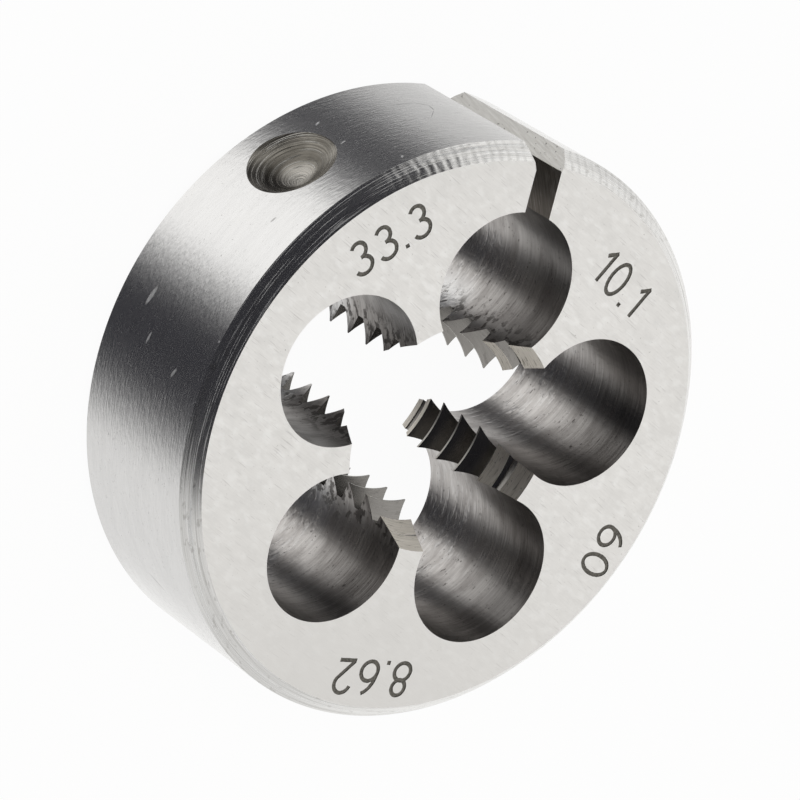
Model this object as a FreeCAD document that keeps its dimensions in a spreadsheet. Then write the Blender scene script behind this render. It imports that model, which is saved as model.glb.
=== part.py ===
"""Adjustable round threading die for a left-hand M12 x 1.75 thread, in millimetres.

The die is one piece of high-speed steel. It lies on its back face with the marked face up (+Z), its thread
axis on Z, the origin at the middle of the back face and the adjusting notch towards +Y. A workpiece enters
at the marked face, where the thread has its long lead.
"""
import FreeCAD, Part
import os
import Sketcher

NODE = "die_body"

# One row for each driving size: alias, value or formula, what it is
SIZES = (
    ("body_diameter", 33.34, "outside diameter, 1 5/16 inch"),
    ("body_thickness", 11.11, "face to face, 7/16 inch"),
    ("bevel_width", 0.86, "edge bevel, measured along the face"),
    ("bevel_drop", 0.86, "edge bevel, measured along the rim"),
    ("bevel_step_width", 0.43, "outer band of the bevel, along the face"),
    ("bevel_step_drop", 0.37, "inner band of the bevel, along the rim"),
    ("thread_pitch", 1.75, "lead of the left-hand thread"),
    ("thread_crest_diameter", 10.11, "across the tips of the cutting teeth"),
    ("thread_root_diameter", 12.2, "across the roots, clear of a 12 mm bolt"),
    ("thread_crest_flat", 0.12, "width of the flat on each tooth tip"),
    ("thread_flank_angle", 60.0, "angle between the two flanks of a tooth"),
    ("thread_start_height", 1.04, "height of the first root where the thread crosses +X"),
    ("thread_overlap", 0.3, "how far the thread cutter reaches into the bore"),
    ("lead_diameter", 13.14, "lead cone at the marked face"),
    ("lead_half_angle", 24.0, "lead cone, from the axis to its side"),
    ("back_lead_diameter", 13.0, "short cone at the back face"),
    ("back_lead_half_angle", 27.5, "short cone, from the axis to its side"),
    ("chip_hole_diameter", 8.62, "each chip hole"),
    ("chip_hole_count", 5.0, "chip holes round the thread"),
    ("land_neck", 1.64, "narrowest part of a land, between two chip holes"),
    (
        "chip_hole_circle",
        "=(chip_hole_diameter + land_neck) / sin(180deg / chip_hole_count)",
        "diameter of the circle through the chip holes, which keeps the lands on the body",
    ),
    ("slot_width", 1.74, "adjusting slot from the rim to the first chip hole"),
    ("slot_lean", 6.5, "slot, turned from the radius at the rim"),
    ("slot_shift", 0.13, "middle of the notch at the rim, towards -X"),
    ("notch_width", 2.87, "adjusting notch across the rim"),
    ("notch_angle", 50.0, "angle between the sides of the notch"),
    ("dimple_diameter", 5.47, "clamping dimple at the rim"),
    ("dimple_point_angle", 120.0, "cone of a clamping dimple"),
    ("dimple_place", 45.0, "clamping dimple, degrees round the rim from +Y"),
    ("dimple_height", 4.91, "middle of a clamping dimple above the back face"),
    ("cutter_clearance", 1.0, "how far a cutter stands outside the rim"),
)

doc = FreeCAD.newDocument("threading_die")

dims = doc.addObject("Spreadsheet::Sheet", "Dims")
for row, (alias, value, note) in enumerate(SIZES, start=1):
    dims.set(f"A{row}", note)
    dims.set(f"B{row}", str(value))
    dims.setAlias(f"B{row}", alias)
doc.recompute()

body = doc.addObject("PartDesign::Body", "DieBody")
body.Label = NODE


def origin_part(role):
    """The plane or axis of the body's own origin that has this role."""
    return next(part for part in body.Origin.OriginFeatures if part.Role == role)


def sketch_on(name, role):
    """An empty sketch of the body, lying on one of its origin planes."""
    sketch = body.newObject("Sketcher::SketchObject", name)
    sketch.AttachmentSupport = [(origin_part(role), "")]
    sketch.MapMode = "FlatFace"
    return sketch


def draw_outline(sketch, corners):
    """A closed outline of straight lines, with each corner's two distances from the origin bound to Dims.

    A distance is an expression, or None for a corner that lies on that axis. The starting places only have
    to be in the right order, so they are worked out from the sheet too.
    """
    def start_value(expression):
        return 0.0 if expression is None else float(sketch.evalExpression(expression))

    places = [FreeCAD.Vector(start_value(across), start_value(up), 0) for across, up in corners]
    count = len(places)
    for index in range(count):
        sketch.addGeometry(Part.LineSegment(places[index], places[(index + 1) % count]), False)
    for index in range(count):
        sketch.addConstraint(Sketcher.Constraint("Coincident", index, 2, (index + 1) % count, 1))
    for index, (across, up) in enumerate(corners):
        bind_distance(sketch, "DistanceX", index, places[index].x, across)
        bind_distance(sketch, "DistanceY", index, places[index].y, up)


def bind_distance(sketch, kind, line, value, expression):
    """Hold the start of a line at a distance from the sketch's origin."""
    if expression is None:
        axis = -2 if kind == "DistanceX" else -1
        sketch.addConstraint(Sketcher.Constraint("PointOnObject", line, 1, axis))
        return
    number = sketch.addConstraint(Sketcher.Constraint(kind, -1, 1, line, 1, value))
    sketch.setExpression(f"Constraints[{number}]", expression)


def cut_really_removed(feature, before):
    """Stop if a cutting feature left the solid as large as it was."""
    if feature.Shape.Volume > before.Shape.Volume - 0.01:
        raise RuntimeError(f"{feature.Name} removed nothing")


def make_blank():
    """The turned blank: rim, bevels of two bands, bore and the lead cone at each face."""
    sketch = sketch_on("BlankProfile", "XZ_Plane")
    rim = "Dims.body_diameter / 2"
    bore = "Dims.thread_crest_diameter / 2"
    top = "Dims.body_thickness"
    back_lead_depth = (
        "(Dims.back_lead_diameter - Dims.thread_crest_diameter) / 2 / tan(Dims.back_lead_half_angle * 1deg)"
    )
    lead_depth = "(Dims.lead_diameter - Dims.thread_crest_diameter) / 2 / tan(Dims.lead_half_angle * 1deg)"
    draw_outline(sketch, (
        ("Dims.back_lead_diameter / 2", None),
        (f"{rim} - Dims.bevel_width", None),
        (f"{rim} - Dims.bevel_step_width", "Dims.bevel_step_drop"),
        (rim, "Dims.bevel_drop"),
        (rim, f"{top} - Dims.bevel_drop"),
        (f"{rim} - Dims.bevel_step_width", f"{top} - Dims.bevel_step_drop"),
        (f"{rim} - Dims.bevel_width", top),
        ("Dims.lead_diameter / 2", top),
        (bore, f"{top} - {lead_depth}"),
        (bore, back_lead_depth),
    ))
    blank = body.newObject("PartDesign::Revolution", "Blank")
    blank.Profile = sketch
    blank.ReferenceAxis = (sketch, ["V_Axis"])
    blank.Angle = 360
    doc.recompute()
    return blank


def cut_thread(blank):
    """The left-hand thread: a truncated V swept up the bore, three turns longer than the die."""
    sketch = sketch_on("ThreadProfile", "XZ_Plane")
    root = "Dims.thread_root_diameter / 2"
    crest = "Dims.thread_crest_diameter / 2"
    start = "Dims.thread_start_height - 2 * Dims.thread_pitch"
    half_gap = "(Dims.thread_pitch - Dims.thread_crest_flat) / 2"
    half_root = (
        f"({half_gap} - (Dims.thread_root_diameter - Dims.thread_crest_diameter) / 2"
        " * tan(Dims.thread_flank_angle * 0.5deg))"
    )
    draw_outline(sketch, (
        (f"{crest} - Dims.thread_overlap", f"{start} - {half_gap}"),
        (crest, f"{start} - {half_gap}"),
        (root, f"{start} - {half_root}"),
        (root, f"{start} + {half_root}"),
        (crest, f"{start} + {half_gap}"),
        (f"{crest} - Dims.thread_overlap", f"{start} + {half_gap}"),
    ))
    thread = body.newObject("PartDesign::SubtractiveHelix", "Thread")
    thread.Profile = sketch
    thread.ReferenceAxis = (sketch, ["V_Axis"])
    thread.Mode = "pitch-height-angle"
    thread.LeftHanded = True
    thread.setExpression("Pitch", "Dims.thread_pitch")
    thread.setExpression("Height", "Dims.body_thickness + 3 * Dims.thread_pitch")
    doc.recompute()
    cut_really_removed(thread, blank)
    return thread


def cut_chip_holes(thread):
    """The chip holes: one drilled at +Y, repeated round the thread. They leave the toothed lands."""
    sketch = sketch_on("ChipHoleProfile", "XY_Plane")
    centre = FreeCAD.Vector(0, dims.chip_hole_circle / 2, 0)
    circle = sketch.addGeometry(Part.Circle(centre, FreeCAD.Vector(0, 0, 1), dims.chip_hole_diameter / 2), False)
    sketch.addConstraint(Sketcher.Constraint("PointOnObject", circle, 3, -2))
    place = sketch.addConstraint(Sketcher.Constraint("DistanceY", -1, 1, circle, 3, centre.y))
    sketch.setExpression(f"Constraints[{place}]", "Dims.chip_hole_circle / 2")
    size = sketch.addConstraint(Sketcher.Constraint("Diameter", circle, dims.chip_hole_diameter))
    sketch.setExpression(f"Constraints[{size}]", "Dims.chip_hole_diameter")
    hole = body.newObject("PartDesign::Pocket", "ChipHole")
    hole.Profile = sketch
    hole.Type = "ThroughAll"
    hole.Reversed = True
    doc.recompute()
    cut_really_removed(hole, thread)
    holes = body.newObject("PartDesign::PolarPattern", "ChipHoles")
    holes.Originals = [hole]
    holes.Axis = (origin_part("Z_Axis"), [""])
    holes.Angle = 360
    holes.setExpression("Occurrences", "Dims.chip_hole_count")
    body.Tip = holes
    doc.recompute()
    cut_really_removed(holes, hole)
    return holes


def cut_slot(holes):
    """The adjusting slot with its V notch, drawn from the rim inwards along the slot's own middle line."""
    sketch = sketch_on("SlotProfile", "XY_Plane")
    sketch.setExpression("AttachmentOffset.Base.x", "-Dims.slot_shift")
    sketch.setExpression("AttachmentOffset.Base.y", "Dims.body_diameter / 2")
    sketch.setExpression("AttachmentOffset.Rotation.Angle", "Dims.slot_lean * 1deg")
    doc.recompute()
    slope = "tan(Dims.notch_angle * 0.5deg)"
    side = "Dims.slot_width / 2"
    mouth = f"Dims.notch_width / 2 + Dims.cutter_clearance * {slope}"
    notch_depth = f"(Dims.notch_width - Dims.slot_width) / 2 / {slope}"
    reach = "(Dims.body_diameter - Dims.chip_hole_circle) / 2"
    draw_outline(sketch, (
        (f"-{side}", f"-{reach}"),
        (side, f"-{reach}"),
        (side, f"-{notch_depth}"),
        (mouth, "Dims.cutter_clearance"),
        (f"-({mouth})", "Dims.cutter_clearance"),
        (f"-{side}", f"-{notch_depth}"),
    ))
    slot = body.newObject("PartDesign::Pocket", "Slot")
    slot.Profile = sketch
    slot.Type = "ThroughAll"
    slot.Reversed = True
    doc.recompute()
    cut_really_removed(slot, holes)
    return slot


def cut_dimples(slot):
    """The two clamping dimples: cones drilled into the rim, one on each side of the notch."""
    sketch = sketch_on("DimpleProfile", "XY_Plane")
    sketch.setExpression("AttachmentOffset.Base.z", "Dims.dimple_height")
    sketch.setExpression("AttachmentOffset.Rotation.Angle", "Dims.dimple_place * 1deg")
    doc.recompute()
    slope = "tan(Dims.dimple_point_angle * 0.5deg)"
    rim = "Dims.body_diameter / 2"
    draw_outline(sketch, (
        (None, f"{rim} - Dims.dimple_diameter / 2 / {slope}"),
        (f"Dims.dimple_diameter / 2 + Dims.cutter_clearance * {slope}", f"{rim} + Dims.cutter_clearance"),
        (None, f"{rim} + Dims.cutter_clearance"),
    ))
    dimple = body.newObject("PartDesign::Groove", "Dimple")
    dimple.Profile = sketch
    dimple.ReferenceAxis = (sketch, ["V_Axis"])
    dimple.Angle = 360
    doc.recompute()
    cut_really_removed(dimple, slot)
    dimples = body.newObject("PartDesign::Mirrored", "Dimples")
    dimples.Originals = [dimple]
    dimples.MirrorPlane = (origin_part("YZ_Plane"), [""])
    body.Tip = dimples
    doc.recompute()
    cut_really_removed(dimples, dimple)
    return dimples


def check_document():
    """Stop at any failed object, and at a body that isn't one valid solid."""
    for item in doc.Objects:
        if "Invalid" in item.State or "Error" in item.State:
            raise RuntimeError(f"{item.Name} failed: {item.State}")
    shape = body.Shape
    if shape.isNull() or not shape.isValid() or len(shape.Solids) != 1:
        raise RuntimeError(f"{body.Label} isn't one valid solid")
    return shape


cut_dimples(cut_slot(cut_chip_holes(cut_thread(make_blank()))))
die = check_document()

os.makedirs("parts", exist_ok=True)
die.exportStep(os.path.join("parts", f"{body.Label}.step"))
print(f"{body.Label}: volume {die.Volume:.2f} mm3, {len(die.Faces)} faces")
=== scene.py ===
"""Looks of an adjustable round threading die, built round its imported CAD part.

The die lies on its back face with the marked face up, its thread axis on Z and its adjusting notch towards
+Y. Sizes are millimetres and angles are degrees in every class. Meshes are made in millimetres and brought to
metres at the very end.
"""

import logging
import math
from dataclasses import dataclass
from enum import Enum
from typing import Any

import bpy
from mathutils import Matrix, Quaternion, Vector


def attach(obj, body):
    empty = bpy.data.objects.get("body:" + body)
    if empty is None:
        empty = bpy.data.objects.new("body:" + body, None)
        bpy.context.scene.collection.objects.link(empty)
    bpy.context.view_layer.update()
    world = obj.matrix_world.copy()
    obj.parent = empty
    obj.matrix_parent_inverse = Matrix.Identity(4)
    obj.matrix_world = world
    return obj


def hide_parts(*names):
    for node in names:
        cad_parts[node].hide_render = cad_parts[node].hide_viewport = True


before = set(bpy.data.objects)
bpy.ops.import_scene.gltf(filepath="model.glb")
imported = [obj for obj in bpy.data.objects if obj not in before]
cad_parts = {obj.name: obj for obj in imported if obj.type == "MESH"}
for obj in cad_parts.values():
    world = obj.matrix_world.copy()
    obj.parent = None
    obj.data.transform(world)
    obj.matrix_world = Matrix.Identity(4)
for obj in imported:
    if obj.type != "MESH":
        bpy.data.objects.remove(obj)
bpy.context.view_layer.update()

MM = 0.001
LOG = logging.getLogger("threading_die")

Tree = bpy.types.NodeTree
Socket = bpy.types.NodeSocket
Node = bpy.types.Node
Pair = tuple[float, float]


def feed(tree: Tree, socket: Socket, value: Any) -> None:
    """Set an input to a value, or link it to a socket or to a node's first output.

    Args:
        tree: The tree that holds the input.
        socket: The input.
        value: A plain value, a socket or a node.
    """
    if isinstance(value, Node):
        value = value.outputs[0]
    if isinstance(value, Socket):
        tree.links.new(value, socket)
    else:
        socket.default_value = value


def add_node(tree: Tree, kind: str, inputs: dict | None = None, **settings: Any) -> Node:
    """Add a node to a tree, with its settings and its inputs.

    Args:
        tree: The tree that gets the node.
        kind: The node's type name.
        inputs: For each input's name or number, what it is fed.
        **settings: The node's own properties.

    Returns:
        The new node.
    """
    node = tree.nodes.new(kind)
    for name, value in settings.items():
        setattr(node, name, value)
    for key, value in (inputs or {}).items():
        feed(tree, node.inputs[key], value)
    return node


def linear(colour: str) -> tuple[float, float, float, float]:
    """Turn an sRGB hex colour into the linear one that nodes take.

    Args:
        colour: Such as "#D8D5CF".

    Returns:
        Red, green, blue and an alpha of 1.
    """
    parts = [int(colour[place:place + 2], 16) / 255 for place in (1, 3, 5)]
    red, green, blue = (
        part / 12.92 if part <= 0.04045 else ((part + 0.055) / 1.055) ** 2.4 for part in parts
    )
    return red, green, blue, 1.0


class Region(Enum):
    """The differently machined parts of the die's surface, as numbered in the mesh's finish attribute."""

    FACE = 1
    RIM = 2
    BEVEL = 3
    LEAD = 4
    CREST = 5
    FLANK = 6
    CHIP_HOLE = 7
    SLOT = 8
    NOTCH = 9
    DIMPLE = 10
    MARK = 11


@dataclass
class Blank:
    """The turned blank: a ring with its bevels, its bore and the lead cone at each face."""

    diameter: float = 33.34
    thickness: float = 11.11
    bevel_width: float = 0.86
    bevel_drop: float = 0.86
    bevel_step_width: float = 0.43
    bevel_step_drop: float = 0.37
    bore: float = 10.11
    lead_diameter: float = 13.14
    lead_half_angle: float = 24.0
    back_lead_diameter: float = 13.0
    back_lead_half_angle: float = 27.5
    steps: int = 360

    def outline(self) -> list[tuple[float, float, Region]]:
        """List the corners of the ring's section.

        Returns:
            Radius, height and, for the side that starts there, region of each corner, counterclockwise.
        """
        rim, bore, top = self.diameter / 2, self.bore / 2, self.thickness
        lead, back_lead = self.lead_diameter / 2, self.back_lead_diameter / 2
        lead_depth = (lead - bore) / math.tan(math.radians(self.lead_half_angle))
        back_depth = (back_lead - bore) / math.tan(math.radians(self.back_lead_half_angle))
        return [
            (back_lead, 0, Region.FACE),
            (rim - self.bevel_width, 0, Region.BEVEL),
            (rim - self.bevel_step_width, self.bevel_step_drop, Region.BEVEL),
            (rim, self.bevel_drop, Region.RIM),
            (rim, top - self.bevel_drop, Region.BEVEL),
            (rim - self.bevel_step_width, top - self.bevel_step_drop, Region.BEVEL),
            (rim - self.bevel_width, top, Region.FACE),
            (lead, top, Region.LEAD),
            (bore, top - lead_depth, Region.CREST),
            (bore, back_depth, Region.LEAD),
        ]

    def mesh(self) -> bpy.types.Mesh:
        """Turn the section round Z.

        Returns:
            A closed ring in millimetres, with a finish number on each face.
        """
        outline = self.outline()
        count = len(outline)
        points, faces, finish = [], [], []
        for step in range(self.steps):
            angle = 2 * math.pi * step / self.steps
            along, aside = math.cos(angle), math.sin(angle)
            points += [(radius * along, radius * aside, height) for radius, height, _ in outline]
        for step in range(self.steps):
            here, there = step * count, (step + 1) % self.steps * count
            for index, (_, _, region) in enumerate(outline):
                after = (index + 1) % count
                faces.append((here + index, there + index, there + after, here + after))
                finish.append(region.value)
        mesh = bpy.data.meshes.new("blank")
        mesh.from_pydata(points, [], faces)
        mesh.attributes.new("finish", "INT", "FACE").data.foreach_set("value", finish)
        return mesh


@dataclass
class Slot:
    """The adjusting slot and its V notch, cut from the rim into the first chip hole."""

    width: float = 1.74
    lean: float = 6.5
    shift: float = 0.13
    notch_width: float = 2.87
    notch_angle: float = 50.0
    reach: float = 7.94
    clearance: float = 1.0

    def cutter(self, blank: Blank, region: Region) -> bpy.types.Object:
        """Make the prism that cuts the slot, or the one that cuts the notch.

        Args:
            blank: The ring to be cut.
            region: Region.SLOT or Region.NOTCH.

        Returns:
            An object that the die's tree subtracts, with its finish number on each face.
        """
        side, slope = self.width / 2, math.tan(math.radians(self.notch_angle / 2))
        mouth = self.notch_width / 2 + self.clearance * slope
        tip, out = self.notch_width / 2 / slope, self.clearance
        outlines = {
            Region.SLOT: [(-side, -self.reach), (side, -self.reach), (side, out), (-side, out)],
            Region.NOTCH: [(0, -tip), (mouth, out), (-mouth, out)],
        }
        turn = Matrix.Rotation(math.radians(self.lean), 4, "Z")
        place = Matrix.Translation((-self.shift, blank.diameter / 2, 0)) @ turn
        corners = [place @ Vector((across, along, 0)) for across, along in outlines[region]]
        count = len(corners)
        low, high = Vector((0, 0, -self.clearance)), Vector((0, 0, blank.thickness + self.clearance))
        points = [corner + low for corner in corners] + [corner + high for corner in corners]
        faces = [tuple(range(count - 1, -1, -1)), tuple(range(count, 2 * count))]
        sides = [(index, (index + 1) % count) for index in range(count)]
        faces += [(here, there, there + count, here + count) for here, there in sides]
        mesh = bpy.data.meshes.new(region.name.lower())
        mesh.from_pydata(points, [], faces)
        mesh.attributes.new("finish", "INT", "FACE").data.foreach_set("value", [region.value] * len(faces))
        cutter = bpy.data.objects.new(region.name.lower(), mesh)
        bpy.context.collection.objects.link(cutter)
        return cutter


def arc(middle: Pair, reach: Pair, start: float, end: float, step: float = 10.0) -> list[Pair]:
    """List the points of an arc of an ellipse.

    Args:
        middle: Its centre.
        reach: Its half width and half height.
        start: Angle of the first point in degrees, from +X.
        end: Angle of the last point.
        step: About how many degrees lie between two points.

    Returns:
        The points in order.
    """
    (x, y), (wide, high) = middle, reach
    count = max(2, round(abs(end - start) / step))
    angles = [math.radians(start + (end - start) * index / count) for index in range(count + 1)]
    return [(x + wide * math.cos(angle), y + high * math.sin(angle)) for angle in angles]


@dataclass
class Number:
    """A plain number on the marked face, drawn with single strokes as an etching plotter does."""

    text: str
    start: Pair
    direction: float
    height: float = 1.93
    gap: float = 0.27

    @staticmethod
    def strokes(sign: str) -> tuple[float, list[list[Pair]]]:
        """Draw one sign, one unit high.

        Args:
            sign: A digit or a point.

        Returns:
            The sign's width and its strokes. A stroke that ends where it starts is a closed one.
        """
        drawn = {
            "0": (0.58, [arc((0.29, 0.5), (0.29, 0.5), 90, 450)]),
            "1": (0.28, [[(0.0, 0.74), (0.28, 1.0)], [(0.25, 1.0), (0.25, 0.0)]]),
            "2": (0.58, [
                arc((0.28, 0.71), (0.28, 0.29), 165, -30) + [(0.04, 0.02)],
                [(0.0, 0.0), (0.58, 0.0)],
            ]),
            "3": (0.56, [
                arc((0.26, 0.76), (0.23, 0.24), 150, -90),
                arc((0.27, 0.265), (0.28, 0.265), 88, -155),
            ]),
            "6": (0.58, [arc((0.29, 0.3), (0.29, 0.3), 90, 450), arc((0.5, 0.32), (0.49, 0.69), 176, 104)]),
            "8": (0.56, [
                arc((0.28, 0.76), (0.23, 0.24), 90, 450),
                arc((0.28, 0.27), (0.28, 0.27), 90, 450),
            ]),
            ".": (0.06, [[(0.03, -0.04), (0.03, 0.08)]]),
        }
        return drawn[sign]

    def lines(self) -> list[list[Pair]]:
        """Set the number on its base line.

        Returns:
            The strokes of all its signs, in millimetres on the face.
        """
        turn = Matrix.Rotation(math.radians(self.direction), 2)
        lines, reach = [], 0.0
        for sign in self.text:
            width, strokes = self.strokes(sign)
            for stroke in strokes:
                points = [
                    turn @ Vector(((reach + across) * self.height, up * self.height)) for across, up in stroke
                ]
                lines.append([(self.start[0] + point.x, self.start[1] + point.y) for point in points])
            reach += width + self.gap
        return lines


@dataclass
class Engraving:
    """The numbers etched into the marked face, which are sizes of the die itself."""

    numbers: tuple[Number, ...] = (
        Number("33.3", (-9.87, 7.76), 41.5),
        Number("10.1", (5.41, 10.32), -27.3, gap=0.3),
        Number("60", (12.75, -3.33), 254.1, gap=0.3),
        Number("8.62", (2.91, -12.93), 183.7),
    )
    stroke: float = 0.24
    depth: float = 0.03
    step: float = 0.09
    ragged: float = 0.05
    ragged_scale: float = 9.0
    closed_gap: float = 0.001

    def curve(self, level: float) -> bpy.types.Object:
        """Draw the middle line of every stroke.

        Args:
            level: Height of the marked face.

        Returns:
            A curve object that the die's tree sweeps a cutter along.
        """
        data = bpy.data.curves.new("numbers", "CURVE")
        data.dimensions = "3D"
        for number in self.numbers:
            for line in number.lines():
                closed = math.dist(line[0], line[-1]) < self.closed_gap
                points = line[:-1] if closed else line
                spline = data.splines.new("POLY")
                spline.points.add(len(points) - 1)
                values = [value for x, y in points for value in (x, y, level, 1.0)]
                spline.points.foreach_set("co", values)
                spline.use_cyclic_u = closed
        drawn = bpy.data.objects.new("numbers", data)
        bpy.context.collection.objects.link(drawn)
        return drawn


@dataclass
class Die:
    """The whole die: blank, left-hand thread, chip holes, slot, dimples and engraved numbers.

    The drill reaches drill_reach times the thickness to each side of the back face. The thread's cutter has
    spare_turns more turns than fit in the thickness, half of them below the back face.
    """

    blank: Blank
    slot: Slot
    engraving: Engraving
    pitch: float = 1.75
    root_diameter: float = 12.2
    crest_flat: float = 0.12
    thread_half_angle: float = 30.0
    thread_start: float = 1.04
    thread_overlap: float = 0.05
    thread_sides: int = 180
    spare_turns: int = 4
    hole_diameter: float = 8.62
    hole_count: int = 5
    hole_sides: int = 180
    drill_reach: float = 2.0
    land_neck: float = 1.64
    dimple_diameter: float = 5.47
    dimple_angle: float = 120.0
    dimple_place: float = 45.0
    dimple_height: float = 4.91
    dimple_sides: int = 128
    clearance: float = 1.0
    smooth_below: float = 6.0
    weld_below: float = 0.0005

    def sizes(self) -> dict[str, tuple[str, Any]]:
        """Work out the tree's inputs.

        Returns:
            For each input's name, its socket type and its value.
        """
        number, whole, thing = "NodeSocketFloat", "NodeSocketInt", "NodeSocketObject"
        crest, root = self.blank.bore / 2, self.root_diameter / 2
        slope = math.tan(math.radians(self.thread_half_angle))
        half_gap = (self.pitch - self.crest_flat) / 2
        turns = math.ceil(self.blank.thickness / self.pitch) + self.spare_turns
        circle = (self.hole_diameter + self.land_neck) / 2 / math.sin(math.pi / self.hole_count)
        cone = math.tan(math.radians(self.dimple_angle / 2))
        return {
            "Thread Turns": (number, float(turns)),
            "Thread Height": (number, turns * self.pitch),
            "Thread Start": (number, self.thread_start - self.spare_turns / 2 * self.pitch),
            "Thread Sides": (whole, self.thread_sides),
            "Thread Middle Radius": (number, (root + crest - self.thread_overlap) / 2),
            "Groove Depth": (number, root - crest + self.thread_overlap),
            "Groove Mouth": (number, 2 * (half_gap + self.thread_overlap * slope)),
            "Groove Floor": (number, 2 * (half_gap - (root - crest) * slope)),
            "Hole Count": (whole, self.hole_count),
            "Hole Radius": (number, self.hole_diameter / 2),
            "Hole Sides": (whole, self.hole_sides),
            "Hole Circle Radius": (number, circle),
            "Drill Length": (number, 2 * self.drill_reach * self.blank.thickness),
            "Dimple Tip Radius": (number, self.blank.diameter / 2 - self.dimple_diameter / 2 / cone),
            "Dimple Cutter Depth": (number, self.dimple_diameter / 2 / cone + self.clearance),
            "Dimple Cutter Radius": (number, self.dimple_diameter / 2 + self.clearance * cone),
            "Dimple Place": (number, math.radians(self.dimple_place)),
            "Dimple Height": (number, self.dimple_height),
            "Dimple Sides": (whole, self.dimple_sides),
            "Smooth Below": (number, math.radians(self.smooth_below)),
            "Weld Below": (number, self.weld_below),
            "Stroke Width": (number, self.engraving.stroke),
            "Stroke Height": (number, 2 * self.engraving.depth),
            "Stroke Step": (number, self.engraving.step),
            "Stroke Raggedness": (number, self.engraving.ragged),
            "Ragged Scale": (number, self.engraving.ragged_scale),
            "Slot Cutter": (thing, self.slot.cutter(self.blank, Region.SLOT)),
            "Notch Cutter": (thing, self.slot.cutter(self.blank, Region.NOTCH)),
            "Numbers": (thing, self.engraving.curve(self.blank.thickness)),
        }

    def labelled(self, tree: Tree, geometry: Node, region: Region) -> Node:
        """Write a region's finish number on every face.

        Args:
            tree: The die's tree.
            geometry: The mesh to label.
            region: What its faces will be.

        Returns:
            The labelled mesh.
        """
        return add_node(
            tree, "GeometryNodeStoreNamedAttribute",
            {"Geometry": geometry, "Name": "finish", "Value": region.value},
            data_type="INT", domain="FACE",
        )

    def thread_cutter(self, tree: Tree, size: dict[str, Socket]) -> Node:
        """Sweep the groove's section up a left-hand helix.

        Args:
            tree: The die's tree.
            size: The tree's inputs by name.

        Returns:
            The cutter, longer than the die at both faces.
        """
        helix = add_node(tree, "GeometryNodeCurveSpiral", {
            "Resolution": size["Thread Sides"], "Rotations": size["Thread Turns"],
            "Start Radius": size["Thread Middle Radius"], "End Radius": size["Thread Middle Radius"],
            "Height": size["Thread Height"], "Reverse": False,
        })
        upright = add_node(tree, "GeometryNodeSetCurveNormal", {"Curve": helix}, mode="Z_UP")
        section = add_node(tree, "GeometryNodeCurvePrimitiveQuadrilateral", {
            "Bottom Width": size["Groove Mouth"], "Top Width": size["Groove Floor"],
            "Height": size["Groove Depth"], "Offset": 0.0,
        }, mode="TRAPEZOID")
        turned = add_node(
            tree, "GeometryNodeTransform", {"Geometry": section, "Rotation": (0, 0, math.pi / 2)},
        )
        sweep = add_node(tree, "GeometryNodeCurveToMesh", {
            "Curve": upright, "Profile Curve": turned, "Fill Caps": True,
        })
        start = add_node(tree, "ShaderNodeCombineXYZ", {"Z": size["Thread Start"]})
        placed = add_node(tree, "GeometryNodeTransform", {"Geometry": sweep, "Translation": start})
        return self.labelled(tree, placed, Region.FLANK)

    def hole_cutter(self, tree: Tree, size: dict[str, Socket]) -> Node:
        """Repeat the chip hole round the thread.

        Args:
            tree: The die's tree.
            size: The tree's inputs by name.

        Returns:
            One drill for each hole, the first at +Y.
        """
        ring = add_node(
            tree, "GeometryNodeMeshCircle",
            {"Vertices": size["Hole Count"], "Radius": size["Hole Circle Radius"]},
        )
        first = add_node(tree, "GeometryNodeTransform", {"Geometry": ring, "Rotation": (0, 0, math.pi / 2)})
        drill = add_node(tree, "GeometryNodeMeshCylinder", {
            "Vertices": size["Hole Sides"], "Radius": size["Hole Radius"], "Depth": size["Drill Length"],
        })
        drills = add_node(
            tree, "GeometryNodeInstanceOnPoints", {"Points": first, "Instance": drill.outputs["Mesh"]},
        )
        real = add_node(tree, "GeometryNodeRealizeInstances", {0: drills})
        return self.labelled(tree, real, Region.CHIP_HOLE)

    def dimple_cutter(self, tree: Tree, size: dict[str, Socket], side: int) -> Node:
        """Place a countersink at the rim on one side of the notch.

        Args:
            tree: The die's tree.
            size: The tree's inputs by name.
            side: 1 for the side at -X, -1 for the one at +X.

        Returns:
            The cone, with its point inwards.
        """
        cone = add_node(tree, "GeometryNodeMeshCone", {
            "Vertices": size["Dimple Sides"], "Depth": size["Dimple Cutter Depth"],
            "Radius Top": size["Dimple Cutter Radius"], "Radius Bottom": 0.0,
        })
        tip = add_node(
            tree, "ShaderNodeCombineXYZ", {"Y": size["Dimple Tip Radius"], "Z": size["Dimple Height"]},
        )
        laid = add_node(tree, "GeometryNodeTransform", {
            "Geometry": cone.outputs["Mesh"], "Translation": tip, "Rotation": (-math.pi / 2, 0, 0),
        })
        turn = add_node(
            tree, "ShaderNodeMath", {0: size["Dimple Place"], 1: float(side)}, operation="MULTIPLY",
        )
        about = add_node(tree, "ShaderNodeCombineXYZ", {"Z": turn})
        placed = add_node(tree, "GeometryNodeTransform", {"Geometry": laid, "Rotation": about})
        return self.labelled(tree, placed, Region.DIMPLE)

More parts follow.
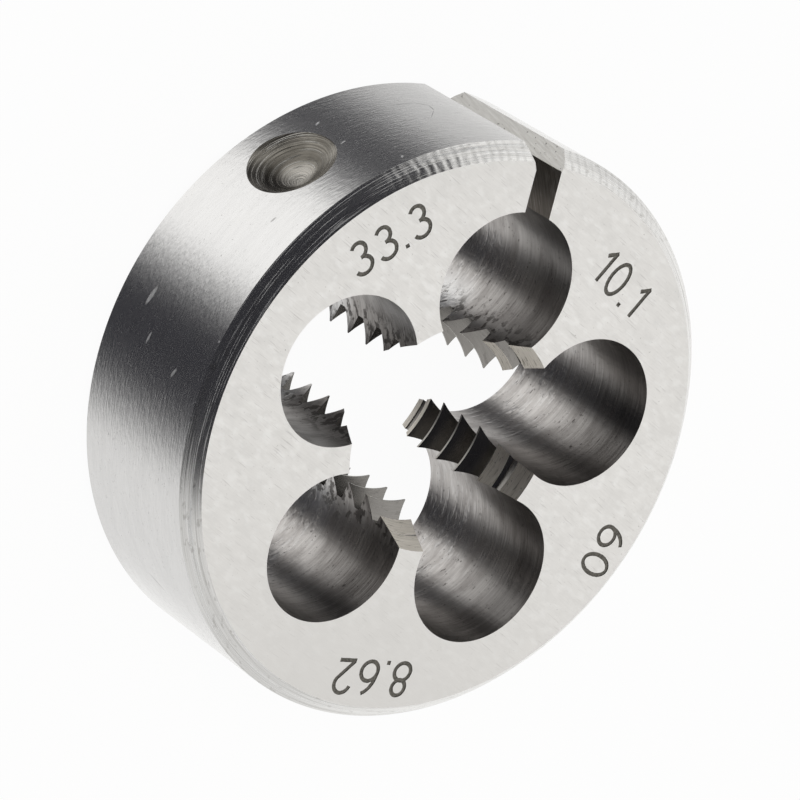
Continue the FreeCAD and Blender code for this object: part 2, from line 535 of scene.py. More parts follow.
    def number_cutter(self, tree: Tree, size: dict[str, Socket]) -> Node:
        """Sweep the etching tool along the strokes of the numbers, with slightly ragged edges.

        Args:
            tree: The die's tree.
            size: The tree's inputs by name.

        Returns:
            One cutter for each stroke, as instances, so that strokes may cross.
        """
        drawn = add_node(tree, "GeometryNodeObjectInfo", {"Object": size["Numbers"]})
        even = add_node(
            tree, "GeometryNodeResampleCurve",
            {"Curve": drawn.outputs["Geometry"], "Length": size["Stroke Step"]},
            mode="LENGTH",
        )
        upright = add_node(tree, "GeometryNodeSetCurveNormal", {"Curve": even}, mode="Z_UP")
        section = add_node(
            tree, "GeometryNodeCurvePrimitiveQuadrilateral",
            {"Width": size["Stroke Width"], "Height": size["Stroke Height"]},
        )
        sweep = add_node(tree, "GeometryNodeCurveToMesh", {
            "Curve": upright, "Profile Curve": section, "Fill Caps": True,
        })
        ragged = add_node(tree, "ShaderNodeTexNoise", {"Scale": size["Ragged Scale"], "Detail": 1.0})
        centred = add_node(
            tree, "ShaderNodeVectorMath", {0: ragged.outputs["Color"], 1: (0.5, 0.5, 0.5)},
            operation="SUBTRACT",
        )
        level = add_node(tree, "ShaderNodeVectorMath", {0: centred, 1: (1, 1, 0)}, operation="MULTIPLY")
        offset = add_node(
            tree, "ShaderNodeVectorMath", {0: level, "Scale": size["Stroke Raggedness"]}, operation="SCALE",
        )
        moved = add_node(tree, "GeometryNodeSetPosition", {"Geometry": sweep, "Offset": offset})
        island = add_node(tree, "GeometryNodeInputMeshIsland")
        label = self.labelled(tree, moved, Region.MARK)
        return add_node(
            tree, "GeometryNodeSplitToInstances",
            {"Geometry": label, "Group ID": island.outputs["Island Index"]}, domain="FACE",
        )

    def tree(self, materials: dict[Region, bpy.types.Material], sizes: dict[str, tuple[str, Any]]) -> Tree:
        """Build the tree that machines the blank into the die.

        Args:
            materials: The material of each region.
            sizes: Socket type and value for each input's name.

        Returns:
            The node tree.
        """
        tree = bpy.data.node_groups.new("machine_die", "GeometryNodeTree")
        tree.interface.new_socket("Die", in_out="OUTPUT", socket_type="NodeSocketGeometry")
        tree.interface.new_socket("Blank", in_out="INPUT", socket_type="NodeSocketGeometry")
        for name, (kind, _) in sizes.items():
            tree.interface.new_socket(name, in_out="INPUT", socket_type=kind)
        given = add_node(tree, "NodeGroupInput")
        size = {name: given.outputs[name] for name in sizes}

        cutters = [self.hole_cutter(tree, size), self.thread_cutter(tree, size)]
        cutters += [self.dimple_cutter(tree, size, side) for side in (1, -1)]
        for name in ("Slot Cutter", "Notch Cutter"):
            cutter = add_node(tree, "GeometryNodeObjectInfo", {"Object": size[name]})
            cutters.append(cutter.outputs["Geometry"])
        cutters.append(self.number_cutter(tree, size))
        part = given.outputs["Blank"]
        for cutter in cutters:
            part = add_node(
                tree, "GeometryNodeMeshBoolean", {"Mesh 1": part, "Mesh 2": cutter},
                operation="DIFFERENCE", solver="MANIFOLD",
            )

        # Crossing cuts leave points on top of each other, so the mesh is welded and cut into triangles to
        # keep it closed
        welded = add_node(
            tree, "GeometryNodeMergeByDistance", {"Geometry": part, "Distance": size["Weld Below"]},
        )
        closed = add_node(tree, "GeometryNodeTriangulate", {"Mesh": welded})
        angle = add_node(tree, "GeometryNodeInputMeshEdgeAngle")
        crisp = add_node(
            tree, "FunctionNodeCompare", {0: angle, 1: size["Smooth Below"]},
            data_type="FLOAT", operation="GREATER_THAN",
        )
        smooth = add_node(
            tree, "GeometryNodeSetShadeSmooth", {"Geometry": closed, "Shade Smooth": True}, domain="FACE",
        )
        edged = add_node(
            tree, "GeometryNodeSetShadeSmooth",
            {"Geometry": smooth, "Selection": crisp, "Shade Smooth": False}, domain="EDGE",
        )
        metres = add_node(tree, "GeometryNodeTransform", {"Geometry": edged, "Scale": (MM, MM, MM)})
        part = add_node(tree, "GeometryNodeRealizeInstances", {0: metres})
        finish = add_node(tree, "GeometryNodeInputNamedAttribute", {"Name": "finish"}, data_type="INT")
        for region, material in materials.items():
            here = add_node(
                tree, "FunctionNodeCompare", {"A": finish, "B": region.value},
                data_type="INT", operation="EQUAL",
            )
            part = add_node(
                tree, "GeometryNodeSetMaterial",
                {"Geometry": part, "Selection": here, "Material": material},
            )
        add_node(tree, "NodeGroupOutput", {0: part})
        return tree

    def build(self, materials: dict[Region, bpy.types.Material]) -> bpy.types.Object:
        """Make the die's mesh.

        Args:
            materials: The material of each region.

        Returns:
            The finished piece, at the origin, in metres.
        """
        source = bpy.data.objects.new("blank", self.blank.mesh())
        source.data.materials.append(materials[Region.FACE])
        bpy.context.collection.objects.link(source)
        sizes = self.sizes()
        modifier = source.modifiers.new("machining", "NODES")
        tree = self.tree(materials, sizes)
        modifier.node_group = tree
        for item in tree.interface.items_tree:
            if item.in_out == "INPUT" and item.name in sizes:
                modifier[item.identifier] = sizes[item.name][1]
        graph = bpy.context.evaluated_depsgraph_get()
        mesh = bpy.data.meshes.new_from_object(source.evaluated_get(graph))
        source.modifiers.remove(modifier)
        helpers = [source] + [value for kind, value in sizes.values() if kind == "NodeSocketObject"]
        for helper in helpers:
            bpy.data.objects.remove(helper)
        mesh.name = "threading_die"
        piece = bpy.data.objects.new("threading_die", mesh)
        bpy.context.collection.objects.link(piece)
        return piece


@dataclass(frozen=True)
class DarkPatch:
    """A darker part of the tent, as a direction seen from the die, in degrees.

    A patch with a top is an upright strip that hangs below the first of its two elevations and is whole below
    the second.
    """

    azimuth: float
    elevation: float
    half_angle: float
    softness: float
    depth: float
    top: Pair | None = None


@dataclass
class Studio:
    """A white light tent, the pale floor in it, one soft lamp and the camera."""

    floor_colour: str = "#F4F3F0"
    tent_colour: str = "#FFFFFE"
    dark_colour: str = "#212128"
    tent_level: float = 1.0
    fill_level: float = 0.62
    floor_glow: float = 0.95
    camera_azimuth: float = 162.03
    camera_elevation: float = 48.164
    camera_roll: float = 123.4
    camera_distance: float = 286.956
    camera_field: float = 8.6898
    aim: tuple[float, float, float] = (0.369, 0.100, 5.555)
    clip: Pair = (10.0, 10000.0)
    floor_reach: float = 3000.0
    lamp_turn: float = -12.0
    lamp_elevation: float = 60.0
    lamp_distance: float = 500.0
    lamp_size: float = 250.0
    lamp_power: float = 0.42
    dark: tuple[DarkPatch, ...] = (
        DarkPatch(153, 45, 59, 8, 0.98),
        DarkPatch(194, 0, 28, 16, 0.98, top=(6, -14)),
        DarkPatch(85, 0, 18, 14, 0.94, top=(6, -14)),
        DarkPatch(58, 0, 26, 22, 0.42, top=(6, -14)),
        DarkPatch(258, 0, 46, 14, 0.24, top=(48, 30)),
    )

    @staticmethod
    def towards(azimuth: float, elevation: float) -> Vector:
        """Give the direction at an azimuth, counterclockwise from +X, and an elevation, both in degrees."""
        turn, rise = math.radians(azimuth), math.radians(elevation)
        return Vector((math.cos(turn) * math.cos(rise), math.sin(turn) * math.cos(rise), math.sin(rise)))

    def patch(self, tree: Tree, direction: Socket, patch: DarkPatch) -> Socket:
        """Work out how much light one dark patch leaves.

        Args:
            tree: The world's tree.
            direction: The direction looked in.
            patch: The dark patch.

        Returns:
            A factor from 1, untouched, down to 1 less the patch's depth.
        """
        bearing = direction
        if patch.top:
            flat = add_node(
                tree, "ShaderNodeVectorMath", {0: direction, 1: (1, 1, 0)}, operation="MULTIPLY",
            )
            bearing = add_node(tree, "ShaderNodeVectorMath", {0: flat}, operation="NORMALIZE")
        near = add_node(
            tree, "ShaderNodeVectorMath",
            {0: bearing, 1: self.towards(patch.azimuth, patch.elevation)}, operation="DOT_PRODUCT",
        )
        outer = math.cos(math.radians(patch.half_angle + patch.softness))
        inner = math.cos(math.radians(patch.half_angle - patch.softness))
        inside = add_node(
            tree, "ShaderNodeMapRange",
            {"Value": near.outputs["Value"], "From Min": outer, "From Max": inner, "To Max": patch.depth},
            interpolation_type="SMOOTHSTEP",
        )
        if patch.top:
            parts = add_node(tree, "ShaderNodeSeparateXYZ", {0: direction})
            gone, whole = (math.sin(math.radians(angle)) for angle in patch.top)
            below = add_node(
                tree, "ShaderNodeMapRange",
                {"Value": parts.outputs["Z"], "From Min": gone, "From Max": whole},
                interpolation_type="SMOOTHSTEP",
            )
            inside = add_node(tree, "ShaderNodeMath", {0: inside, 1: below}, operation="MULTIPLY")
        return add_node(tree, "ShaderNodeMath", {0: 1.0, 1: inside}, operation="SUBTRACT").outputs[0]

    def looked_at(self, tree: Tree) -> Socket:
        """Tell whether a ray shows the surroundings, to the camera, in the steel or through glass.

        Args:
            tree: A world's or a material's tree.

        Returns:
            1 for camera, glossy and transmission rays, else 0.
        """
        path = add_node(tree, "ShaderNodeLightPath")
        seen = add_node(
            tree, "ShaderNodeMath", {0: path.outputs["Is Camera Ray"], 1: path.outputs["Is Glossy Ray"]},
            operation="MAXIMUM",
        )
        return add_node(
            tree, "ShaderNodeMath", {0: seen, 1: path.outputs["Is Transmission Ray"]}, operation="MAXIMUM",
        ).outputs[0]

    def light_world(self) -> None:
        """Make the tent: the steel mirrors white cloth with dark patches, the floor is lit plainly."""
        world = bpy.data.worlds.new("light_tent")
        bpy.context.scene.world = world
        world.use_nodes = True
        world.cycles.sampling_method = "NONE"
        tree = world.node_tree
        tree.nodes.clear()
        place = add_node(tree, "ShaderNodeTexCoord")
        level = 1.0
        for dark in self.dark:
            left = self.patch(tree, place.outputs["Generated"], dark)
            level = add_node(tree, "ShaderNodeMath", {0: level, 1: left}, operation="MULTIPLY")
        cloth = add_node(
            tree, "ShaderNodeMix", {0: level, 6: linear(self.dark_colour), 7: linear(self.tent_colour)},
            data_type="RGBA",
        )
        shown = add_node(
            tree, "ShaderNodeBackground", {"Color": cloth.outputs[2], "Strength": self.tent_level},
        )
        fill = add_node(
            tree, "ShaderNodeBackground", {"Color": linear(self.tent_colour), "Strength": self.fill_level},
        )
        both = add_node(tree, "ShaderNodeMixShader", {0: self.looked_at(tree), 1: fill, 2: shown})
        add_node(tree, "ShaderNodeOutputWorld", {"Surface": both})

    def lay_floor(self) -> None:
        """Lay the floor under the die. It stays out of the steel, where the photo shows the open tent."""
        reach = self.floor_reach * MM
        corners = [(-reach, -reach, 0), (reach, -reach, 0), (reach, reach, 0), (-reach, reach, 0)]
        mesh = bpy.data.meshes.new("floor")
        mesh.from_pydata(corners, [], [(0, 1, 2, 3)])
        floor = bpy.data.objects.new("floor", mesh)
        bpy.context.collection.objects.link(floor)
        material = bpy.data.materials.new("pale_paper")
        material.use_nodes = True
        tree = material.node_tree
        tree.nodes.clear()
        paper = add_node(tree, "ShaderNodeBsdfDiffuse", {"Color": linear(self.floor_colour)})
        glow = add_node(tree, "ShaderNodeEmission", {"Color": (1, 1, 1, 1), "Strength": 1.0})
        share = add_node(
            tree, "ShaderNodeMath", {0: self.looked_at(tree), 1: self.floor_glow}, operation="MULTIPLY",
        )
        both = add_node(tree, "ShaderNodeMixShader", {0: share, 1: paper, 2: glow})
        add_node(tree, "ShaderNodeOutputMaterial", {"Surface": both})
        mesh.materials.append(material)
        floor.visible_glossy = False

    def hang_lamp(self) -> None:
        """Hang one soft lamp near the camera, so that the die's shadow falls behind it."""
        data = bpy.data.lights.new("soft_lamp", "AREA")
        data.shape, data.size, data.energy = "DISK", self.lamp_size * MM, self.lamp_power
        lamp = bpy.data.objects.new("soft_lamp", data)
        bpy.context.collection.objects.link(lamp)
        direction = self.towards(self.camera_azimuth + self.lamp_turn, self.lamp_elevation)
        lamp.location = direction * (self.lamp_distance * MM)
        lamp.rotation_mode = "QUATERNION"
        lamp.rotation_quaternion = direction.to_track_quat("Z", "Y")
        lamp.visible_glossy = False
        lamp.visible_camera = False

    def place_camera(self) -> None:
        """Place the camera where the photo was taken from, with its roll."""
        data = bpy.data.cameras.new("camera")
        data.sensor_fit, data.angle = "HORIZONTAL", math.radians(self.camera_field)
        data.clip_start, data.clip_end = (distance * MM for distance in self.clip)
        camera = bpy.data.objects.new("camera", data)
        bpy.context.collection.objects.link(camera)
        back = self.towards(self.camera_azimuth, self.camera_elevation)
        camera.location = (Vector(self.aim) + back * self.camera_distance) * MM
        camera.rotation_mode = "QUATERNION"
        roll = Quaternion((0, 0, 1), math.radians(self.camera_roll))
        camera.rotation_quaternion = back.to_track_quat("Z", "Y") @ roll
        bpy.context.scene.camera = camera

    def set_up(self) -> None:
        """Make the whole studio."""
        bpy.context.scene.view_settings.view_transform = "Standard"
        self.place_camera()
        self.light_world()
        self.lay_floor()
        self.hang_lamp()


class Lay(Enum):
    """How the tool marks lie on a surface."""

    STRAIGHT = "straight lines across the face"
    LEVEL = "arcs at one height"
    RINGS = "rings at one radius"
    SLANTED = "slanting lines on an upright wall"
    COUNTERSUNK = "rings about the axis of a dimple"


@dataclass(frozen=True)
class Marks:
    """One kind of mark on a finish, made of noise stretched along the lay, with sizes in millimetres.

    Marks with a limit lie only within that radius of the thread axis, and those with a ceiling only below
    that height. Both end softly, over the fade to each side. The width and length are those of a cell of the
    noise. A pixel of the picture is about 0.055 mm on the die, too coarse for the finest lines of a ground or
    turned surface, so the finest of each finish are drawn coarser, in cells 0.04 to 0.12 mm wide.
    """

    width: float
    length: float
    start: float
    full: float
    colour: str = "#FFFFFF"
    share: float = 0.0
    relief: float = 0.0
    dulling: float = 0.0
    seed: float = 0.0
    detail: float = 2.0
    limit: float | None = None
    ceiling: float | None = None
    fade: float = 0.6
    noise_roughness: float = 0.55


@dataclass(frozen=True)
class Nick:
    """A single scratch on the rim that the photo shows, with its ends as degrees from +X and height.

    Its strength rises between the two shares of its half length and half width that edge holds.
    """

    start: Pair
    end: Pair
    width: float
    colour: str
    share: float
    dulling: float = 0.0
    relief: float = 0.0
    edge: Pair = (1.1, 0.6)


@dataclass(frozen=True)
class Chatter:
    """The ripple that a chattering tool left on the bevel, with its angles in degrees from +X.

    A slow noise makes its spacing uneven and weakens it in patches, down to the weakest share where the noise
    is calm. Its troughs are darkened as painted shade, from the first to the second level of the wave that
    trough holds.
    """

    middle: float = 93.0
    whole: float = 29.0
    reach: float = 43.0
    spacing: float = 0.58
    height: float = 0.006
    uneven: float = 5.0
    patch_scale: float = 1.3
    calm: Pair = (0.35, 0.6)
    weakest: float = 0.3
    trough: Pair = (0.1, -0.9)
    colour: str = "#B2B1AF"
    share: float = 0.35


@dataclass(frozen=True)
class MouthShade:
    """Painted shade that darkens the upper part of a hole towards its mouth, between two heights."""

    start: float
    full: float
    colour: str
    share: float


@dataclass(frozen=True)
class SteelFinish:
    """Hardened high-speed steel with one machined finish.

    The marks of rings change ring_climb times as fast with height as they do along X.
    """

    name: str
    colour: str
    roughness: float
    anisotropy: float
    lay: Lay
    marks: tuple[Marks, ...]
    turn: float = 0.0
    ring_climb: float = 1.7
    nicks: tuple[Nick, ...] = ()
    chatter: Chatter | None = None
    painted_mouth_shade: MouthShade | None = None

    def lay_out(self, tree: Tree, place: Socket, die: Die) -> tuple[Node, Node | None]:
        """Work out where a point is in the lay.

        Args:
            tree: The material's tree.
            place: The point in millimetres.
            die: The die that has the finish.

        Returns:
            The point as (across the marks, along them, along them), and the direction across them, where
            there is one.
        """
        x, y, z = add_node(tree, "ShaderNodeSeparateXYZ", {0: place}).outputs
        if self.lay is Lay.STRAIGHT:
            turn = math.radians(90 - self.turn)
            turned = add_node(tree, "ShaderNodeMapping", {"Vector": place, "Rotation": (0, 0, turn)})
            across = Matrix.Rotation(math.radians(self.turn + 90), 3, "Z") @ Vector((1, 0, 0))
            return turned, add_node(tree, "ShaderNodeCombineXYZ", {0: across.x, 1: across.y})
        if self.lay is Lay.COUNTERSUNK:
            side = add_node(tree, "ShaderNodeMath", {0: x}, operation="ABSOLUTE")
            level = add_node(tree, "ShaderNodeMath", {0: z, 1: die.dimple_height}, operation="SUBTRACT")
            folded = add_node(tree, "ShaderNodeCombineXYZ", {0: side, 1: y, 2: level})
            turn = math.radians(die.dimple_place)
            turned = add_node(tree, "ShaderNodeMapping", {"Vector": folded, "Rotation": (0, 0, turn)})
            beside, _, above = add_node(tree, "ShaderNodeSeparateXYZ", {0: turned}).outputs
            disc = add_node(tree, "ShaderNodeCombineXYZ", {0: beside, 2: above})
            radius = add_node(tree, "ShaderNodeVectorMath", {0: disc}, operation="LENGTH").outputs["Value"]
            return add_node(tree, "ShaderNodeCombineXYZ", {0: radius, 1: beside, 2: above}), None
        if self.lay is Lay.RINGS:
            flat = add_node(tree, "ShaderNodeCombineXYZ", {0: x, 1: y})
            radius = add_node(tree, "ShaderNodeVectorMath", {0: flat}, operation="LENGTH").outputs["Value"]
            rising = add_node(
                tree, "ShaderNodeMath", {0: z, 1: self.ring_climb, 2: x}, operation="MULTIPLY_ADD",
            )
            laid = add_node(tree, "ShaderNodeCombineXYZ", {0: radius, 1: rising, 2: y})
        elif self.lay is Lay.SLANTED:
            turn = math.radians(self.turn)
            turned = add_node(tree, "ShaderNodeMapping", {"Vector": place, "Rotation": (turn, 0, 0)})
            x, y, z = add_node(tree, "ShaderNodeSeparateXYZ", {0: turned}).outputs
            laid = add_node(tree, "ShaderNodeCombineXYZ", {0: z, 1: y, 2: x})
        else:
            laid = add_node(tree, "ShaderNodeCombineXYZ", {0: z, 1: x, 2: y})
        return laid, add_node(tree, "ShaderNodeCombineXYZ", {2: 1.0})

    def amount(self, tree: Tree, laid: Node, place: Socket, marks: Marks) -> Node:
        """Work out how strong one kind of mark is at a point.

        Args:
            tree: The material's tree.
            laid: The point in the lay.
            place: The point in millimetres.
            marks: The kind of mark.

        Returns:
            From 0, none, to 1, full.
        """
        finer = (1 / marks.width, 1 / marks.length, 1 / marks.length)
        stretched = add_node(
            tree, "ShaderNodeVectorMath", {0: laid, 1: finer, 2: (marks.seed,) * 3}, operation="MULTIPLY_ADD",
        )
        noise = add_node(tree, "ShaderNodeTexNoise", {
            "Vector": stretched, "Scale": 1.0, "Detail": marks.detail, "Roughness": marks.noise_roughness,
        })
        amount = add_node(tree, "ShaderNodeMapRange", {
            "Value": noise.outputs["Fac"], "From Min": marks.start, "From Max": marks.full,
        })
        ends = []
        if marks.limit is not None:
            flat = add_node(tree, "ShaderNodeVectorMath", {0: place, 1: (1, 1, 0)}, operation="MULTIPLY")
            radius = add_node(tree, "ShaderNodeVectorMath", {0: flat}, operation="LENGTH")
            ends.append((radius.outputs["Value"], marks.limit))
        if marks.ceiling is not None:
            parts = add_node(tree, "ShaderNodeSeparateXYZ", {0: place})
            ends.append((parts.outputs["Z"], marks.ceiling))
        for value, end in ends:
            inside = add_node(tree, "ShaderNodeMapRange", {
                "Value": value, "From Min": end + marks.fade, "From Max": end - marks.fade,
            })
            amount = add_node(tree, "ShaderNodeMath", {0: amount, 1: inside}, operation="MULTIPLY")
        return amount

    def nick_amount(self, tree: Tree, place: Socket, nick: Nick, radius: float) -> Node:
        """Work out how strong one scratch is at a point.

        Args:
            tree: The material's tree.
            place: The point in millimetres.
            nick: The scratch.
            radius: The rim's radius.

        Returns:
            From 0, none, to 1, full.
        """
        ends = []
        for angle, height in (nick.start, nick.end):
            turn = math.radians(angle)
            ends.append(Vector((radius * math.cos(turn), radius * math.sin(turn), height)))
        middle, along = (ends[0] + ends[1]) / 2, ends[1] - ends[0]
        outwards = Vector((middle.x, middle.y, 0)).normalized()
        across = outwards.cross(along.normalized())
        turned = Matrix((along.normalized(), across, outwards)).transposed().to_euler()
        local = add_node(tree, "ShaderNodeMapping", {
            "Vector": place, "Location": middle, "Rotation": turned,
            "Scale": (along.length / 2, nick.width / 2, 1.0),
        }, vector_type="TEXTURE")
        far = add_node(tree, "ShaderNodeVectorMath", {0: local}, operation="LENGTH")
        outer, inner = nick.edge
        return add_node(tree, "ShaderNodeMapRange", {
            "Value": far.outputs["Value"], "From Min": outer, "From Max": inner,
        })

    def chatter_wave(self, tree: Tree, place: Socket, radius: float) -> Node:
        """Work out the ripple that a chattering tool left on the bevel next to the notch.

        Args:
            tree: The material's tree.
            place: The point in millimetres.
            radius: The rim's radius.

        Returns:
            From -1 in a trough to 1 on a crest, less where the ripple dies away.
        """
        chatter = self.chatter
        x, y, _ = add_node(tree, "ShaderNodeSeparateXYZ", {0: place}).outputs
        angle = add_node(tree, "ShaderNodeMath", {0: y, 1: x}, operation="ARCTAN2")
        slow = add_node(tree, "ShaderNodeTexNoise", {"Vector": place, "Scale": chatter.patch_scale})
        noise = slow.outputs["Fac"]
        shifted = add_node(tree, "ShaderNodeMath", {0: noise, 1: chatter.uneven}, operation="MULTIPLY")
        pace = 2 * math.pi * radius / chatter.spacing
        phase = add_node(
            tree, "ShaderNodeMath", {0: angle, 1: pace, 2: shifted}, operation="MULTIPLY_ADD",
        )
        wave = add_node(tree, "ShaderNodeMath", {0: phase}, operation="SINE")
        middle, reach, whole = (math.radians(turn) for turn in (chatter.middle, chatter.reach, chatter.whole))
        away = add_node(tree, "ShaderNodeMath", {0: angle, 1: middle}, operation="SUBTRACT")
        distance = add_node(tree, "ShaderNodeMath", {0: away}, operation="ABSOLUTE")
        near = add_node(tree, "ShaderNodeMapRange", {"Value": distance, "From Min": reach, "From Max": whole})
        calm, lively = chatter.calm
        patchy = add_node(tree, "ShaderNodeMapRange", {
            "Value": noise, "From Min": calm, "From Max": lively, "To Min": chatter.weakest,
        })
        limited = add_node(tree, "ShaderNodeMath", {0: wave, 1: near}, operation="MULTIPLY")
        return add_node(tree, "ShaderNodeMath", {0: limited, 1: patchy}, operation="MULTIPLY")

    @staticmethod
    def tinted(tree: Tree, share: Node, under: Any, colour: str) -> Socket:
        """Lay a colour over another.

        Args:
            tree: The material's tree.
            share: How much of it shows.
            under: The colour below.
            colour: The colour laid over it.

        Returns:
            The mixed colour.
        """
        mix = add_node(tree, "ShaderNodeMix", {0: share, 6: under, 7: linear(colour)}, data_type="RGBA")
        return mix.outputs[2]

    def material(self, die: Die) -> bpy.types.Material:
        """Make the material.

        Args:
            die: The die that has the finish. Its sizes place the marks.

        Returns:
            Steel whose marks change its colour, roughness and relief.
        """
        material = bpy.data.materials.new(self.name)
        material.use_nodes = True
        tree = material.node_tree
        shader = tree.nodes["Principled BSDF"]
        point = add_node(tree, "ShaderNodeTexCoord").outputs["Object"]
        scaled = add_node(tree, "ShaderNodeVectorMath", {0: point, "Scale": 1 / MM}, operation="SCALE")
        place, radius = scaled.outputs[0], die.blank.diameter / 2
        laid, tangent = self.lay_out(tree, place, die)
        colour, rough, height = linear(self.colour), self.roughness, 0.0
        shader.inputs["Roughness"].default_value = rough
        if self.chatter:
            wave = self.chatter_wave(tree, place, radius)
            height = add_node(tree, "ShaderNodeMath", {0: wave, 1: self.chatter.height}, operation="MULTIPLY")
            # painted shade: the ripple's troughs are darkened
            first, last = self.chatter.trough
            trough = add_node(tree, "ShaderNodeMapRange", {
                "Value": wave, "From Min": first, "From Max": last, "To Max": self.chatter.share,
            })
            colour = self.tinted(tree, trough, colour, self.chatter.colour)
        spots = [(mark, self.amount(tree, laid, place, mark)) for mark in self.marks]
        spots += [(nick, self.nick_amount(tree, place, nick, radius)) for nick in self.nicks]
        for spot, amount in spots:
            if spot.share:
                share = add_node(tree, "ShaderNodeMath", {0: amount, 1: spot.share}, operation="MULTIPLY")
                colour = self.tinted(tree, share, colour, spot.colour)
            if spot.dulling:
                added = {0: amount, 1: spot.dulling, 2: rough}
                rough = add_node(tree, "ShaderNodeMath", added, operation="MULTIPLY_ADD")
            if spot.relief:
                added = {0: amount, 1: spot.relief, 2: height}
                height = add_node(tree, "ShaderNodeMath", added, operation="MULTIPLY_ADD")
        # painted shade: the hole's wall is darkened from the start height up to its mouth
        if self.painted_mouth_shade:
            depth = add_node(tree, "ShaderNodeMapRange", {
                "Value": add_node(tree, "ShaderNodeSeparateXYZ", {0: place}).outputs["Z"],
                "From Min": self.painted_mouth_shade.start, "From Max": self.painted_mouth_shade.full, "To Max": self.painted_mouth_shade.share,
            })
            colour = self.tinted(tree, depth, colour, self.painted_mouth_shade.colour)
        bump = add_node(tree, "ShaderNodeBump", {"Height": height, "Strength": 1.0, "Distance": MM})
        fed = {
            "Metallic": 1.0, "Base Color": colour, "Roughness": rough, "Anisotropic": self.anisotropy,
            "Normal": bump,
        }
        if tangent is not None:
            fed["Tangent"] = tangent
        for name, value in fed.items():
            feed(tree, shader.inputs[name], value)
        return material


# Surface-ground face: pale and dull, with fine straight scratches, a few pits and a slow painted shading that
# darkens part of the face
GROUND_FACE = SteelFinish("ground_face", "#F3F1EE", 0.55, 0.35, Lay.STRAIGHT, (
    Marks(0.08, 1.6, 0.35, 0.68, "#E3E1DE", 0.30, relief=-0.0004, seed=3.1),
    Marks(0.55, 1.1, 0.44, 0.66, "#DFDDDA", 0.30, seed=8.4),
    Marks(0.40, 0.8, 0.50, 0.70, "#FFFEFC", 0.45, seed=15.9),
    Marks(0.07, 1.5, 0.66, 0.74, "#BFBBB8", 0.45, relief=-0.001, seed=21.7, detail=1.0),
    Marks(0.12, 0.2, 0.72, 0.79, "#AFAAA6", 0.50, relief=-0.002, seed=33.3, detail=1.0),
    # painted shade: a slow darker patch across the face, tens of millimetres wide
    Marks(34.0, 44.0, 0.34, 0.56, "#E4E2DF", 0.80, seed=54.75, detail=0.0),
), turn=-23.0)

# Cylindrically ground rim: bright, with short fine lines round it that blur what it mirrors, and nicks
GROUND_RIM = SteelFinish("ground_rim", "#F5F4F3", 0.23, 0.50, Lay.LEVEL, (
    Marks(0.05, 0.8, 0.30, 0.70, "#E0DEDC", 0.30, relief=0.0009, seed=2.2),
    Marks(0.14, 0.55, 0.35, 0.68, "#E6E4E3", 0.20, relief=0.0055, seed=41.3, detail=3.0),
    Marks(0.45, 3.0, 0.42, 0.66, "#E6E5E4", 0.35, seed=9.6),
    Marks(0.09, 0.45, 0.66, 0.76, "#C4C1BF", 0.40, relief=-0.002, dulling=0.10, seed=17.1),
    Marks(0.10, 0.25, 0.74, 0.80, "#8E8A87", 0.5, relief=-0.003, seed=27.0, detail=1.0),
), nicks=(
    Nick((168.3, 3.52), (172.3, 3.28), 0.30, "#FFFFFF", 0.9, dulling=0.60),
    Nick((175.7, 4.71), (178.3, 4.60), 0.16, "#FFFFFF", 0.7, dulling=0.50),
    Nick((178.8, 7.82), (180.8, 7.55), 0.20, "#FFFFFF", 0.6, dulling=0.45),
    Nick((170.2, 10.10), (170.6, 10.15), 0.14, "#FFFFFF", 0.7, dulling=0.55),
    Nick((124.3, 3.06), (125.5, 3.24), 0.13, "#FFFFFF", 0.8, dulling=0.60),
    Nick((125.0, 5.88), (126.2, 5.96), 0.13, "#FFFFFF", 0.8, dulling=0.60),
    Nick((120.9, 9.50), (121.4, 9.74), 0.14, "#FFFFFF", 0.8, dulling=0.60),
    Nick((131.6, 2.70), (129.3, 3.05), 0.10, "#FFFFFF", 0.8, dulling=0.60),
    Nick((129.0, 3.10), (127.5, 3.68), 0.10, "#FFFFFF", 0.8, dulling=0.60),
    Nick((127.4, 3.75), (126.9, 4.70), 0.09, "#FFFFFF", 0.7, dulling=0.55),
    Nick((127.0, 5.00), (127.8, 6.10), 0.09, "#FFFFFF", 0.6, dulling=0.50),
    Nick((110.5, 3.88), (105.3, 4.04), 0.07, "#4A4847", 0.55),
    Nick((105.5, 4.02), (103.4, 4.60), 0.07, "#4A4847", 0.60),
    Nick((103.5, 4.55), (104.1, 5.32), 0.07, "#4A4847", 0.60),
    Nick((104.0, 5.25), (107.2, 6.35), 0.06, "#4A4847", 0.40),
    Nick((147.4, 7.83), (145.9, 7.87), 0.16, "#8A8786", 0.6),
    Nick((225.6, 4.95), (228.4, 6.22), 0.12, "#A9A7A5", 0.6),
))

# Turned bevel: rings of the lathe tool, rippled by chatter next to the notch, with painted shade in the
# ripple's troughs
TURNED_BEVEL = SteelFinish("turned_bevel", "#EEEDEB", 0.24, 0.40, Lay.RINGS, (
    Marks(0.05, 7.0, 0.32, 0.68, "#BFBDBA", 0.40, relief=0.003, seed=4.4),
    Marks(0.11, 9.0, 0.54, 0.68, "#A3A19D", 0.35, relief=-0.003, seed=51.6),
    Marks(0.04, 6.0, 0.60, 0.67, "#FFFFFF", 0.60, relief=0.004, dulling=0.28, seed=12.8),
    Marks(0.25, 0.7, 0.60, 0.72, "#A19E99", 0.45, relief=-0.003, seed=19.3),
), chatter=Chatter())

